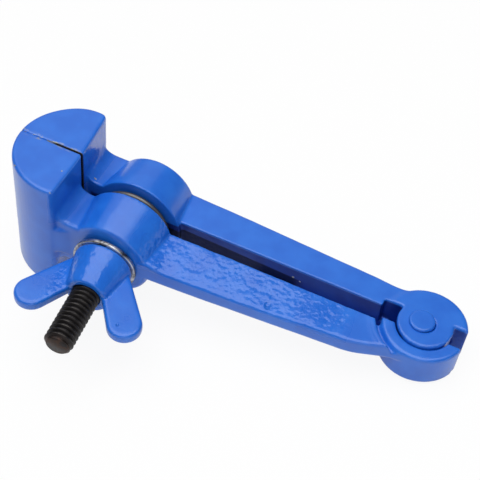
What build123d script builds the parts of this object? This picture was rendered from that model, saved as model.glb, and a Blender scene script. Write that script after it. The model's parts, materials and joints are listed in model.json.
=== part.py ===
"""Hand vise: two hinged jaw castings drawn together by a bolt and a wing nut.

The tool is drawn lying flat, with X running from the hinge to the jaws, Z along the hinge
and the shut jaws meeting on Y = 0. It is then tipped to the pose in which it lies on a bench.
"""

from build123d import *
from math import atan2, cos, degrees, radians, sin, sqrt, tan
import os

os.makedirs("parts", exist_ok=True)

# Bosses round the bolt, and the neck between boss and head
BOSS_X = 82.2
BOSS_INNER_RADIUS = 12.8
BOSS_OUTER_RADIUS = 11.3
BOSS_INNER = 1.9
NEAR_BOSS_OUTER = 14.4
FAR_BOSS_OUTER = 14.2
NECK_GAP = 2.5
NECK_HALF_HEIGHT = 7.2
NECK_FLARE_HALF_HEIGHT = 13.0
NECK_FLARE_DEPTH = 1.5
NECK_BLEND_SHARE = 0.72
NECK_ROOT_BLEND = 2.0
ARM_BLEND = 4.5
LOWER_RIM_EDGE = 1.2
UPPER_RIM_EDGE = 0.8

# Head: a tall half-round block, parted down the middle
JAW_WIDTH = 38.0
HEAD_RADIUS = 16.1
HEAD_SETBACK = 2.6
JAW_GAP = 0.3
HEAD_EDGE = 0.8
HEAD_BACK_CORNER = 1.4
HEAD_BACK_X = BOSS_X + BOSS_INNER_RADIUS + NECK_GAP
HEAD_CENTRE_X = HEAD_BACK_X + HEAD_SETBACK

# Hinge knuckle: two half-height discs lapped inside two half rings
PIVOT_OFFSET = 2.7
KNUCKLE_RADIUS = 11.1
KNUCKLE_TOP = 4.25
KNUCKLE_BOTTOM = -6.4
NEAR_RING_TOP = 3.5
LAP_HEIGHT = -0.5
DISC_RADIUS = 7.3
RING_WALL_OFFSET = 2.65
KNUCKLE_EDGE = 0.8
LAP_CLEARANCE = 0.12
POCKET_CLEARANCE = 0.3
LAP_BELOW = LAP_HEIGHT - LAP_CLEARANCE / 2
LAP_ABOVE = LAP_HEIGHT + LAP_CLEARANCE / 2
POCKET_RADIUS = DISC_RADIUS + POCKET_CLEARANCE

# Arms
NEAR_ARM_BOTTOM_AT_KNUCKLE = -0.7
NEAR_ARM_BOTTOM_AT_BOSS = -2.8
FAR_ARM_BOTTOM = -3.8
ARM_TOP = 4.0
NEAR_ARM_TOP = 4.3
ARM_BEND = 6.4
NEAR_ROOT_X = 1.0
FAR_ROOT_X = 6.5
NEAR_INNER_END = 0.9
FAR_INNER_END = 0.8
FAR_INNER = 3.3
NEAR_OUTER_KNUCKLE = 11.8
FAR_OUTER_KNUCKLE = 11.5
ARM_END_REACH = 3.1
ARM_END_FOOT_REACH = 0.9
ARM_END_FOOT_TOP = 2.8
ARM_BEND_X = KNUCKLE_RADIUS + ARM_BEND
NEAR_INNER_END_X = KNUCKLE_RADIUS + NEAR_INNER_END
FAR_INNER_END_X = KNUCKLE_RADIUS + FAR_INNER_END
ARM_END_RADIUS = KNUCKLE_RADIUS + ARM_END_REACH
ARM_END_FOOT_RADIUS = KNUCKLE_RADIUS + ARM_END_FOOT_REACH

# Webs that bring the neck's outer face out to the head's side
NECK_WEB_HALF_HEIGHT = 4.5
NECK_WEB_SINK = 0.4
HEAD_CORNER_INSET = 0.1

# Domed pad that the washer rocks on
PAD_RADIUS = 9.5
PAD_PROUD = 0.8
PAD_DOME_RADIUS = 60.0
PAD_TOP = NEAR_BOSS_OUTER + PAD_PROUD

# Bolt: lengths along it are counted from its seat on the pad
BOLT_RADIUS = 3.85
BOLT_TILT = 4.57
BOLT_SEAT_OFFSET = 0.2
BOLT_TIP = 29.4
BOLT_TIP_CHAMFER = 0.9
BOLT_HEAD_OVERHANG = 3.35
BOLT_HEAD_RIM = 1.5
BOLT_HEAD_DOME = 2.2
BALL_RADIUS = 11.0
BALL_SEAT_DEPTH = 1.69
SQUARE_NECK_MARGIN = 0.1
SQUARE_NECK_LENGTH = 4.0
BALL_CLEARANCE = 0.15
HOLE_CLEARANCE = 0.35
SWING_ROOM = 1.9
FAR_SLOT_CORNER = 0.8
BOLT_SEAT_X = BOSS_X + BOLT_SEAT_OFFSET
NECK_WEB_X = BOLT_SEAT_X + PAD_RADIUS
BOLT_HEAD_RADIUS = BOLT_RADIUS + BOLT_HEAD_OVERHANG
SQUARE_NECK = 2 * (BOLT_RADIUS + SQUARE_NECK_MARGIN)
HOLE_REACH = BOLT_RADIUS + HOLE_CLEARANCE
SEAT_TO_BALL_FACE = (PAD_TOP + FAR_BOSS_OUTER - BALL_SEAT_DEPTH) / cos(radians(BOLT_TILT))
BALL_CENTRE = -SEAT_TO_BALL_FACE - BALL_RADIUS

# Rivet
RIVET_RADIUS = 2.5
RIVET_HEAD_RADIUS = 3.4
RIVET_HEAD_HEIGHT = 0.9
RIVET_FOOT_HEIGHT = 0.7
RIVET_HEAD_EDGE = 0.45
UPPER_HEAD_SHIFT = 1.0
RIVET_CLEARANCE = 0.05
RIVET_HOLE_RADIUS = RIVET_RADIUS + RIVET_CLEARANCE

# Washer
WASHER_RADIUS = 8.8
WASHER_CLEARANCE = 0.45
WASHER_THICKNESS = 1.2
WASHER_LIFT = 0.25
WASHER_HOLE_RADIUS = BOLT_RADIUS + WASHER_CLEARANCE

# Wing nut
NUT_LIFT = 0.05
NUT_BASE_WALL = 4.15
NUT_END_WALL = 1.85
NUT_LENGTH = 10.9
NUT_RIM = 0.6
NUT_THREAD_CLEARANCE = 0.1
NUT_EDGE = 0.7
WING_REACH = 12.85
WING_HEIGHT = 15.6
WING_TIP_RADIUS = 4.6
WING_THICKNESS = 3.2
WING_EDGE = 0.9
WING_ROOT_HEIGHT = 0.6
WING_ROOT_RADIUS = 1.2
NUT_BORE = BOLT_RADIUS + NUT_THREAD_CLEARANCE
NUT_BASE_RADIUS = NUT_BORE + NUT_BASE_WALL
NUT_END_RADIUS = NUT_BORE + NUT_END_WALL
NUT_BASE = WASHER_LIFT + WASHER_THICKNESS + NUT_LIFT
NUT_END = NUT_BASE + NUT_LENGTH

# Spring: a flat-nesting cone of wire
SPRING_WIRE = 1.5
SPRING_OFFSET = 0.7
SPRING_ROOM = 1.64
SPRING_TURNS = 2.4
SPRING_TURN_GAP = 0.15
SPRING_SEAT_CLEARANCE = 0.1
SPRING_X = BOSS_X + SPRING_OFFSET
SPRING_SHRINK = SPRING_TURNS * (SPRING_WIRE + SPRING_TURN_GAP)
SPRING_SMALL_RADIUS = BOLT_RADIUS + SPRING_ROOM + SPRING_WIRE / 2
SPRING_LARGE_RADIUS = SPRING_SMALL_RADIUS + SPRING_SHRINK

# How far a cut runs past the face that it opens, and the reach that picks out an edge
CUT_OVERRUN = 2.0
EDGE_PICK = 0.5

PIVOT_Y = -PIVOT_OFFSET
PIVOT_AXIS = Axis((0, PIVOT_Y, 0), (0, 0, 1))
ACROSS = Vector(cos(radians(BOLT_TILT)), sin(radians(BOLT_TILT)), 0)
ALONG = Vector(-sin(radians(BOLT_TILT)), cos(radians(BOLT_TILT)), 0)
SEAT = Vector(BOLT_SEAT_X, PAD_TOP, 0)
BOLT_AXIS = Axis(SEAT, ALONG)
BOLT_SIDE = Plane(origin=SEAT, x_dir=ACROSS, z_dir=(0, 0, 1))


def bolt_x(y):
    """Where the bolt's axis crosses a plane of constant Y when the jaws are shut."""
    return BOLT_SEAT_X + (PAD_TOP - y) * tan(radians(BOLT_TILT))


def bolt_plane(s):
    """The plane square to the bolt at the distance s beyond its seat."""
    return Plane(origin=SEAT + ALONG * s, x_dir=ACROSS, z_dir=ALONG)


def head_half(side):
    """Half of the head: one side of the D, with its rim and back corner rounded."""
    face = side * JAW_GAP / 2
    half_chord = sqrt(HEAD_RADIUS**2 - (HEAD_CENTRE_X - HEAD_BACK_X) ** 2)
    with BuildPart() as head:
        with BuildSketch(Plane.XY.offset(-JAW_WIDTH / 2)):
            with Locations((HEAD_CENTRE_X, 0)):
                Circle(HEAD_RADIUS)
            with Locations((HEAD_BACK_X, side * HEAD_RADIUS + face)):
                Rectangle(
                    4 * HEAD_RADIUS,
                    2 * HEAD_RADIUS,
                    align=(Align.MIN, Align.CENTER),
                    mode=Mode.INTERSECT,
                )
        extrude(amount=JAW_WIDTH)
        back_corner = head.edges().filter_by(Axis.Z).sort_by(
            lambda e: (e.center() - Vector(HEAD_BACK_X, side * half_chord, 0)).length
        )[0]
        fillet(back_corner, HEAD_BACK_CORNER)
        rims = [
            edge
            for edge in head.edges()
            if abs(abs(edge.center().Z) - JAW_WIDTH / 2) < 0.01
            and abs(edge.center().Y - face) > 0.01
        ]
        fillet(rims, HEAD_EDGE)
    return head.part


def side_section(radius, y, root_x, top, bottoms):
    """The outline of arm, boss and neck, looking along the bolt, at the plane Y = y."""
    neck_length = HEAD_BACK_X + NECK_FLARE_DEPTH - BOSS_X
    neck_start_x = BOSS_X + sqrt(BOSS_INNER_RADIUS**2 - NECK_HALF_HEIGHT**2)
    neck_blend = (HEAD_BACK_X - neck_start_x) * NECK_BLEND_SHARE
    with BuildSketch(Plane.XZ.offset(-y)) as section:
        with Locations((BOSS_X, 0)):
            Circle(radius)
            Rectangle(neck_length, 2 * NECK_HALF_HEIGHT, align=(Align.MIN, Align.CENTER))
        with Locations((HEAD_BACK_X, 0)):
            Rectangle(
                NECK_FLARE_DEPTH,
                2 * NECK_FLARE_HALF_HEIGHT,
                align=(Align.MIN, Align.CENTER),
            )
        Polygon(
            (root_x, bottoms[0]),
            (BOSS_X, bottoms[1]),
            (BOSS_X, top),
            (root_x, top),
            align=None,
        )
        corners = section.vertices()
        neck_corners = corners.filter_by(
            lambda v: v.X > BOSS_X and abs(abs(v.Y) - NECK_HALF_HEIGHT) < 0.01
        ).sort_by(Axis.X)
        arm_corners = corners.filter_by(
            lambda v: BOSS_X - radius - 1 < v.X < BOSS_X - radius / 2
        )
        fillet(neck_corners[2:], neck_blend)
        fillet(neck_corners[:2], NECK_ROOT_BLEND)
        fillet(arm_corners, ARM_BLEND)
    return section.sketch


def outer_rims(limb, outer_side, root_x, upper):
    """The edges round the outer face from knuckle to head, above or below the middle."""
    return [
        edge
        for edge in limb.edges()
        if abs(edge.center().Y) > outer_side
        and root_x + EDGE_PICK < edge.center().X < HEAD_BACK_X
        and (edge.center().Z > 0) == upper
        and abs(edge.tangent_at(0.5).Y) < 0.5
        and abs(edge.tangent_at(0.5).Z) < 0.99
    ]


def jaw_limb(side, inner_end_x, outer, outer_at_knuckle, root_x, top, bottoms):
    """Arm, boss and neck in one: drafted outwards, tapered in plan, rounded outside."""
    wall_y = side * PIVOT_Y + RING_WALL_OFFSET
    taper = (outer - outer_at_knuckle) / (BOSS_X - ARM_BEND_X)
    root_reach = sqrt(KNUCKLE_RADIUS**2 - root_x**2)
    root_y = side * PIVOT_Y + root_reach
    end_x = HEAD_BACK_X + NECK_FLARE_DEPTH
    with BuildPart() as limb:
        loft(
            [
                side_section(BOSS_INNER_RADIUS, side * BOSS_INNER, root_x, top, bottoms),
                side_section(BOSS_OUTER_RADIUS, side * outer, root_x, top, bottoms),
            ],
            ruled=True,
        )
        with BuildSketch(Plane.XY.offset(-JAW_WIDTH / 2)):
            with BuildLine():
                Spline(
                    (root_x, side * root_y),
                    (ARM_BEND_X, side * outer_at_knuckle),
                    tangents=[(root_reach, -side * root_x), (1, side * taper)],
                )
                Spline(
                    (ARM_BEND_X, side * outer_at_knuckle),
                    (BOSS_X, side * outer),
                    tangents=[(1, side * taper), (1, 0)],
                )
                Polyline(
                    (BOSS_X, side * outer),
                    (end_x, side * outer),
                    (end_x, side * BOSS_INNER),
                    (inner_end_x, side * BOSS_INNER),
                    (inner_end_x, side * wall_y),
                    (root_x, side * wall_y),
                    (root_x, side * root_y),
                )
            make_face()
        extrude(amount=JAW_WIDTH, mode=Mode.INTERSECT)
        outer_side = (BOSS_INNER + outer_at_knuckle) / 2
        fillet(outer_rims(limb, outer_side, root_x, upper=False), LOWER_RIM_EDGE)
        fillet(outer_rims(limb, outer_side, root_x, upper=True), UPPER_RIM_EDGE)
    return limb.part


def neck_web(side, outer):
    """The wedge that fills the corner between the neck's outer face and the head."""
    end_x = HEAD_BACK_X + NECK_FLARE_DEPTH
    end_y = sqrt(HEAD_RADIUS**2 - (HEAD_CENTRE_X - end_x) ** 2) - HEAD_CORNER_INSET
    foot = side * (outer - NECK_WEB_SINK)
    with BuildPart() as web:
        with BuildSketch(Plane.XY.offset(-NECK_WEB_HALF_HEIGHT)):
            Polygon((NECK_WEB_X, foot), (end_x, foot), (end_x, side * end_y), align=None)
        extrude(amount=2 * NECK_WEB_HALF_HEIGHT)
    return web.part


def half_knuckle(side, ring_top):
    """The half ring of the knuckle on one side of the pivot."""
    with BuildPart() as ring:
        with BuildSketch(Plane.XY.offset(KNUCKLE_BOTTOM)):
            with Locations((0, PIVOT_Y)):
                Circle(KNUCKLE_RADIUS)
            with Locations((0, PIVOT_Y + side * (RING_WALL_OFFSET + KNUCKLE_RADIUS))):
                Rectangle(3 * KNUCKLE_RADIUS, 2 * KNUCKLE_RADIUS, mode=Mode.INTERSECT)
        extrude(amount=ring_top - KNUCKLE_BOTTOM)
        rims = [
            edge
            for edge in ring.edges().filter_by(GeomType.CIRCLE)
            if abs(edge.tangent_at(0.5).Z) < 0.01
        ]
        fillet(rims, KNUCKLE_EDGE)
    return ring.part


def slot_cut(plane_y, depth, low_x, high_x, corner):
    """An upright-sided slot for the bolt, sunk along Y from the plane Y = plane_y."""
    with BuildPart() as slot:
        with BuildSketch(Plane.XZ.offset(-plane_y)):
            with Locations(((low_x + high_x) / 2, 0)):
                RectangleRounded(high_x - low_x, 2 * HOLE_REACH, corner)
        extrude(amount=depth)
    return slot.part


near_limb = jaw_limb(
    side=1,
    inner_end_x=NEAR_INNER_END_X,
    outer=NEAR_BOSS_OUTER,
    outer_at_knuckle=NEAR_OUTER_KNUCKLE,
    root_x=NEAR_ROOT_X,
    top=NEAR_ARM_TOP,
    bottoms=(NEAR_ARM_BOTTOM_AT_KNUCKLE, NEAR_ARM_BOTTOM_AT_BOSS),
)
far_limb = jaw_limb(
    side=-1,
    inner_end_x=FAR_INNER_END_X,
    outer=FAR_BOSS_OUTER,
    outer_at_knuckle=FAR_OUTER_KNUCKLE,
    root_x=FAR_ROOT_X,
    top=ARM_TOP,
    bottoms=(FAR_ARM_BOTTOM, FAR_ARM_BOTTOM),
)

# Near jaw: carries the lower knuckle disc and the domed pad for the washer
with BuildPart() as near_jaw:
    add(near_limb)
    with BuildSketch(Plane.XZ.offset(PIVOT_OFFSET)):
        with BuildLine():
            Polyline(
                (0, ARM_END_FOOT_TOP),
                (ARM_END_FOOT_RADIUS, ARM_END_FOOT_TOP),
                (ARM_END_RADIUS, NEAR_ARM_TOP),
                (ARM_END_RADIUS, NEAR_ARM_TOP + CUT_OVERRUN),
                (0, NEAR_ARM_TOP + CUT_OVERRUN),
                close=True,
            )
        make_face()
    revolve(axis=PIVOT_AXIS, mode=Mode.SUBTRACT)
    add(head_half(1))
    add(neck_web(1, NEAR_BOSS_OUTER))
    add(half_knuckle(1, NEAR_RING_TOP))
    with BuildSketch(Plane.XY.offset(LAP_BELOW)):
        with Locations((0, PIVOT_Y)):
            Circle(POCKET_RADIUS)
    extrude(amount=NEAR_ARM_TOP - LAP_BELOW + CUT_OVERRUN, mode=Mode.SUBTRACT)
    with BuildSketch(Plane.XY.offset(KNUCKLE_BOTTOM)):
        with Locations((0, PIVOT_Y)):
            Circle(DISC_RADIUS)
    extrude(amount=LAP_BELOW - KNUCKLE_BOTTOM)
    with BuildSketch(Plane.XY):
        with BuildLine():
            pad_drop = PAD_DOME_RADIUS - sqrt(PAD_DOME_RADIUS**2 - PAD_RADIUS**2)
            pad_corner = (BOLT_SEAT_X + PAD_RADIUS, PAD_TOP - pad_drop)
            Polyline(
                (BOLT_SEAT_X, PAD_TOP),
                (BOLT_SEAT_X, BOSS_INNER + CUT_OVERRUN),
                (BOLT_SEAT_X + PAD_RADIUS, BOSS_INNER + CUT_OVERRUN),
                pad_corner,
            )
            RadiusArc((BOLT_SEAT_X, PAD_TOP), pad_corner, PAD_DOME_RADIUS)
        make_face()
    revolve(axis=Axis((BOLT_SEAT_X, 0, 0), (0, 1, 0)))
    add(
        slot_cut(
            PAD_TOP + CUT_OVERRUN,
            PAD_TOP - BOSS_INNER + 2 * CUT_OVERRUN,
            bolt_x(BOSS_INNER) - SWING_ROOM - HOLE_REACH,
            bolt_x(BOSS_INNER) + HOLE_REACH,
            HOLE_REACH - HOLE_CLEARANCE / 2,
        ),
        mode=Mode.SUBTRACT,
    )
    with Locations((0, PIVOT_Y, LAP_BELOW)):
        Hole(RIVET_HOLE_RADIUS, depth=LAP_BELOW - KNUCKLE_BOTTOM)

# Far jaw: carries the upper knuckle disc and the ball seat for the bolt's head
with BuildPart() as far_jaw:
    add(far_limb)
    with BuildSketch(Plane.XZ.offset(BOSS_INNER)):
        with Locations((BOSS_X, 0)):
            Rectangle(2 * BOSS_X, JAW_WIDTH, align=(Align.MAX, Align.CENTER))
            Circle(BOSS_INNER_RADIUS, mode=Mode.SUBTRACT)
        with Locations((FAR_INNER_END_X, 0)):
            Rectangle(
                FAR_INNER_END_X,
                JAW_WIDTH,
                align=(Align.MAX, Align.CENTER),
                mode=Mode.SUBTRACT,
            )
    extrude(amount=FAR_INNER - BOSS_INNER, mode=Mode.SUBTRACT)
    add(head_half(-1))
    add(neck_web(-1, FAR_BOSS_OUTER))
    add(half_knuckle(-1, KNUCKLE_TOP))
    with BuildSketch(Plane.XY.offset(KNUCKLE_BOTTOM - CUT_OVERRUN)):
        with Locations((0, PIVOT_Y)):
            Circle(POCKET_RADIUS)
    extrude(amount=LAP_ABOVE - KNUCKLE_BOTTOM + CUT_OVERRUN, mode=Mode.SUBTRACT)
    with BuildSketch(Plane.XY.offset(LAP_ABOVE)):
        with Locations((0, PIVOT_Y)):
            Circle(DISC_RADIUS)
    extrude(amount=KNUCKLE_TOP - LAP_ABOVE)
    add(
        slot_cut(
            0,
            FAR_BOSS_OUTER + CUT_OVERRUN,
            bolt_x(-BOSS_INNER) - SWING_ROOM - HOLE_REACH,
            bolt_x(-FAR_BOSS_OUTER) + HOLE_REACH,
            FAR_SLOT_CORNER,
        ),
        mode=Mode.SUBTRACT,
    )
    with Locations(SEAT + ALONG * BALL_CENTRE):
        Sphere(BALL_RADIUS + BALL_CLEARANCE, mode=Mode.SUBTRACT)
    with Locations((0, PIVOT_Y, KNUCKLE_TOP)):
        Hole(RIVET_HOLE_RADIUS, depth=KNUCKLE_TOP - LAP_ABOVE)

# Rivet: a shank with a low round head at each end, the upper one peened off centre
with BuildPart() as hinge_rivet:
    with BuildSketch(Plane.XY.offset(KNUCKLE_BOTTOM - RIVET_FOOT_HEIGHT)):
        with Locations((0, PIVOT_Y)):
            Circle(RIVET_HEAD_RADIUS)
    extrude(amount=RIVET_FOOT_HEIGHT)
    fillet(hinge_rivet.edges().group_by(Axis.Z)[0], RIVET_HEAD_EDGE)
    with BuildSketch(Plane.XY.offset(KNUCKLE_BOTTOM)):
        with Locations((0, PIVOT_Y)):
            Circle(RIVET_RADIUS)
    extrude(amount=KNUCKLE_TOP - KNUCKLE_BOTTOM)
    with BuildSketch(Plane.XY.offset(KNUCKLE_TOP)):
        with Locations((UPPER_HEAD_SHIFT, PIVOT_Y)):
            Circle(RIVET_HEAD_RADIUS)
    extrude(amount=RIVET_HEAD_HEIGHT)
    fillet(hinge_rivet.edges().group_by(Axis.Z)[-1], RIVET_HEAD_EDGE)

# Bolt: ball-seated round head, square neck and a plain cylinder at the thread's outer size
with BuildPart() as clamp_bolt:
    shank_start = BALL_CENTRE + sqrt(BALL_RADIUS**2 - BOLT_RADIUS**2)
    ball_rim = BALL_CENTRE + sqrt(BALL_RADIUS**2 - BOLT_HEAD_RADIUS**2)
    ball_middle_radius = (BOLT_RADIUS + BOLT_HEAD_RADIUS) / 2
    ball_middle = BALL_CENTRE + sqrt(BALL_RADIUS**2 - ball_middle_radius**2)
    head_rim = ball_rim - BOLT_HEAD_RIM
    head_top = head_rim - BOLT_HEAD_DOME
    with BuildSketch(BOLT_SIDE):
        with BuildLine():
            Polyline(
                (0, head_top),
                (0, BOLT_TIP),
                (BOLT_RADIUS - BOLT_TIP_CHAMFER, BOLT_TIP),
                (BOLT_RADIUS, BOLT_TIP - BOLT_TIP_CHAMFER),
                (BOLT_RADIUS, shank_start),
            )
            ThreePointArc(
                (BOLT_RADIUS, shank_start),
                (ball_middle_radius, ball_middle),
                (BOLT_HEAD_RADIUS, ball_rim),
            )
            Line((BOLT_HEAD_RADIUS, ball_rim), (BOLT_HEAD_RADIUS, head_rim))
            dome_radius = (BOLT_HEAD_RADIUS**2 + BOLT_HEAD_DOME**2) / (2 * BOLT_HEAD_DOME)
            dome_middle_radius = BOLT_HEAD_RADIUS / 2
            dome_middle = head_top - (
                sqrt(dome_radius**2 - dome_middle_radius**2) - dome_radius
            )
            ThreePointArc(
                (BOLT_HEAD_RADIUS, head_rim),
                (dome_middle_radius, dome_middle),
                (0, head_top),
            )
        make_face()
    revolve(axis=BOLT_AXIS)
    with BuildSketch(bolt_plane(head_rim)):
        Rectangle(SQUARE_NECK, SQUARE_NECK)
    extrude(amount=BALL_CENTRE + BALL_RADIUS + SQUARE_NECK_LENGTH - head_rim)

# Washer
with BuildPart() as washer:
    with BuildSketch(bolt_plane(WASHER_LIFT)):
        Circle(WASHER_RADIUS)
        Circle(WASHER_HOLE_RADIUS, mode=Mode.SUBTRACT)
    extrude(amount=WASHER_THICKNESS)


def wing(direction):
    """One wing: a rounded paddle tapering back to the hub."""
    with BuildPart() as paddle:
        with BuildSketch(BOLT_SIDE.offset(-WING_THICKNESS / 2)):
            with Locations((direction * WING_REACH, NUT_BASE + WING_HEIGHT)):
                Circle(WING_TIP_RADIUS)
            with Locations(
                (
                    direction * (NUT_BASE_RADIUS - WING_ROOT_RADIUS),
                    NUT_BASE + WING_ROOT_HEIGHT + WING_ROOT_RADIUS,
                ),
                (direction * (NUT_BORE + WING_ROOT_RADIUS), NUT_END - WING_ROOT_RADIUS),
            ):
                Circle(WING_ROOT_RADIUS)
            make_hull()
        extrude(amount=WING_THICKNESS)
        flat_faces = paddle.faces().filter_by(Axis.Z)
        fillet(flat_faces.edges(), WING_EDGE)
    return paddle.part


# Wing nut: a tapered hub with two paddle wings that lean outwards
with BuildPart() as wing_nut:
    with BuildSketch(BOLT_SIDE):
        with BuildLine():
            Polyline(
                (0, NUT_BASE),
                (NUT_BASE_RADIUS, NUT_BASE),
                (NUT_BASE_RADIUS, NUT_BASE + NUT_RIM),
                (NUT_END_RADIUS, NUT_END),
                (0, NUT_END),
                close=True,
            )
        make_face()
    revolve(axis=BOLT_AXIS)
    hub_end = wing_nut.edges().filter_by(GeomType.CIRCLE).sort_by(Axis.Y)[-1]
    fillet(hub_end, NUT_EDGE)
    add(wing(1))
    add(wing(-1))
    with BuildSketch(bolt_plane(NUT_BASE - CUT_OVERRUN)):
        Circle(NUT_BORE)
    extrude(amount=NUT_LENGTH + 2 * CUT_OVERRUN, mode=Mode.SUBTRACT)

# Spring: a cone of wire that nests flat between the bosses, its wide end on the far jaw
with BuildPart() as opening_spring:
    spring_height = 2 * (BOSS_INNER - SPRING_SEAT_CLEARANCE) - SPRING_WIRE
    slant_length = sqrt(spring_height**2 + SPRING_SHRINK**2)
    with BuildLine() as spring_path:
        Helix(
            slant_length / SPRING_TURNS,
            spring_height,
            SPRING_LARGE_RADIUS,
            center=(SPRING_X, -spring_height / 2, 0),
            direction=(0, 1, 0),
            cone_angle=-degrees(atan2(SPRING_SHRINK, spring_height)),
        )
    with BuildSketch(Plane(origin=spring_path.line @ 0, z_dir=spring_path.line % 0)):
        Circle(SPRING_WIRE / 2)
    sweep(is_frenet=True)


def on_the_bench(parts):
    """The pieces as the tool lies on a bench: on the head's lower back edge and the knuckle."""
    knuckle_reach = sqrt(KNUCKLE_RADIUS**2 - RING_WALL_OFFSET**2)
    rise = JAW_WIDTH / 2 + KNUCKLE_BOTTOM
    tilt = degrees(atan2(rise, HEAD_BACK_X + knuckle_reach))
    tipped = [part.rotate(Axis.Y, -tilt) for part in parts]
    box = Compound([solid for part in tipped for solid in part.solids()]).bounding_box()
    middle = box.center()
    move = Vector(-middle.X, -middle.Y, -box.min.Z)
    return [part.translate(move) for part in tipped]


NAMES = [
    "near_jaw",
    "far_jaw",
    "hinge_rivet",
    "clamp_bolt",
    "washer",
    "wing_nut",
    "opening_spring",
]
BUILDERS = [near_jaw, far_jaw, hinge_rivet, clamp_bolt, washer, wing_nut, opening_spring]

for name, piece in zip(NAMES, on_the_bench([builder.part for builder in BUILDERS])):
    piece.label = name
    export_step(piece, f"parts/{name}.step")
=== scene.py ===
"""Looks of the hand vise: enamelled castings, a black screw, a bright washer and a spring.

Every measure in the classes below is in millimetres, in one of two frames that are read from
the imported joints: the tool's own frame, with X from hinge to jaws, Y across the parting line
and Z along the hinge, and the screw's frame, with Z along the screw and its origin on its seat.
In the names of sizes, along is a place along the tool, depth one across it from the parting
line, rise a height and reach a distance from the pivot, over which something sets in or ends.
"""

import json
import logging
import math
from collections.abc import Callable
from dataclasses import dataclass
from enum import Enum
from typing import NamedTuple

import bmesh
import bpy
from mathutils import Matrix, Vector, noise


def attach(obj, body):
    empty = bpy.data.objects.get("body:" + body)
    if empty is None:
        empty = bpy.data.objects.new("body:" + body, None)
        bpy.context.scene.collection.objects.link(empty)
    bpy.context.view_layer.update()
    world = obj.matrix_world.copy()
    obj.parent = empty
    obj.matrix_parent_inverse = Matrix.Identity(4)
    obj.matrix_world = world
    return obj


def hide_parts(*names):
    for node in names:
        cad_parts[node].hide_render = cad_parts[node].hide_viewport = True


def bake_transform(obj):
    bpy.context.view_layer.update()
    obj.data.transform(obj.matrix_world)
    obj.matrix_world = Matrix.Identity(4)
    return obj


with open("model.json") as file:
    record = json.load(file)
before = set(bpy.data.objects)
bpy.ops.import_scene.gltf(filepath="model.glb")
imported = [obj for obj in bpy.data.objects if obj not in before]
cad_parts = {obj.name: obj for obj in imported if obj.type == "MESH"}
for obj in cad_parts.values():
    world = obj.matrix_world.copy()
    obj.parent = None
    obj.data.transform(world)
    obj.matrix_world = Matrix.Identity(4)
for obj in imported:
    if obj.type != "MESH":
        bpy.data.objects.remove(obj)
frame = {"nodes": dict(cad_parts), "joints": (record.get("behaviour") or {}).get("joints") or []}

LOG = logging.getLogger("hand_vise")
MM = 0.001
PIVOT_OFFSET = 2.7  # how far the pivot lies on the far side of the parting line
SCREEN_WHITE = 255
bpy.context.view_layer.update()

Span = tuple[float, float]
Point = tuple[float, float, float]
Spot = tuple[float, float, float, float]  # a point and how far it reaches
Band = tuple[float, float, float, float]  # sets in over the first two, ends over the others
Colour = tuple[float, float, float, float]


class Body(Enum):
    """The moving bodies that the pieces ride on."""

    FIXED_JAW = "fixed_jaw"
    MOVING_JAW = "moving_jaw"
    SCREW = "bolt"
    WASHER = "thrust_washer"
    NUT = "nut"


class Slot(Enum):
    """The record's material slots."""

    ENAMEL = "painted_casting"
    BLACK_STEEL = "black_steel"
    BRIGHT_STEEL = "bright_steel"


@dataclass(frozen=True)
class Placement:
    """A right-handed frame of reference with millimetres as its unit.

    Attributes:
        origin: The frame's origin in the row frame, in metres.
        across: The direction of its X axis.
        along: The direction of its Z axis.
    """

    origin: Vector
    across: Vector
    along: Vector

    @property
    def turn(self) -> Matrix:
        """The rotation from this frame to the row frame."""
        side = self.along.cross(self.across)
        return Matrix((self.across, side, self.along)).transposed()

    @property
    def to_row(self) -> Matrix:
        """The transform from this frame, in millimetres, to the row frame, in metres."""
        return Matrix.Translation(self.origin) @ self.turn.to_4x4() @ Matrix.Scale(MM, 4)

    @property
    def from_row(self) -> Matrix:
        """The transform from the row frame, in metres, to this frame, in millimetres."""
        return self.to_row.inverted()


def joint(name: str) -> dict[str, object]:
    """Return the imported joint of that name."""
    return next(j for j in frame["joints"] if j["name"] == name)


def tool_placement() -> Placement:
    """Find the tool's own frame from the hinge joint.

    Returns:
        The frame.
    """
    hinge = joint("jaw_hinge")
    up = -Vector(hinge["axis"]).normalized()
    across = Vector((0, 1, 0)).cross(up).normalized()
    origin = Vector(hinge["pos_m"]) + Vector((0, PIVOT_OFFSET * MM, 0))
    return Placement(origin, across, up)


def screw_placement() -> Placement:
    """Find the screw's frame from the nut's joint.

    Returns:
        The frame.
    """
    nut = joint("nut_turn")
    along = Vector(nut["axis"]).normalized()
    up = -Vector(joint("jaw_hinge")["axis"]).normalized()
    return Placement(Vector(nut["pos_m"]), along.cross(up).normalized(), along)


TOOL = tool_placement()
SCREW = screw_placement()


def operator(operation: str, swapped: bool = False) -> Callable[..., "Sock"]:
    """Make a method of Sock.

    Args:
        operation: The operation of the Math node that it adds.
        swapped: Whether the other value comes first.

    Returns:
        The method.
    """

    def method(self: "Sock", *other: "Sock | float") -> "Sock":
        """Return the result for this value and the other, if the operation has one."""
        return self.tree.math(operation, *((*other, self) if swapped else (self, *other)))

    return method


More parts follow.
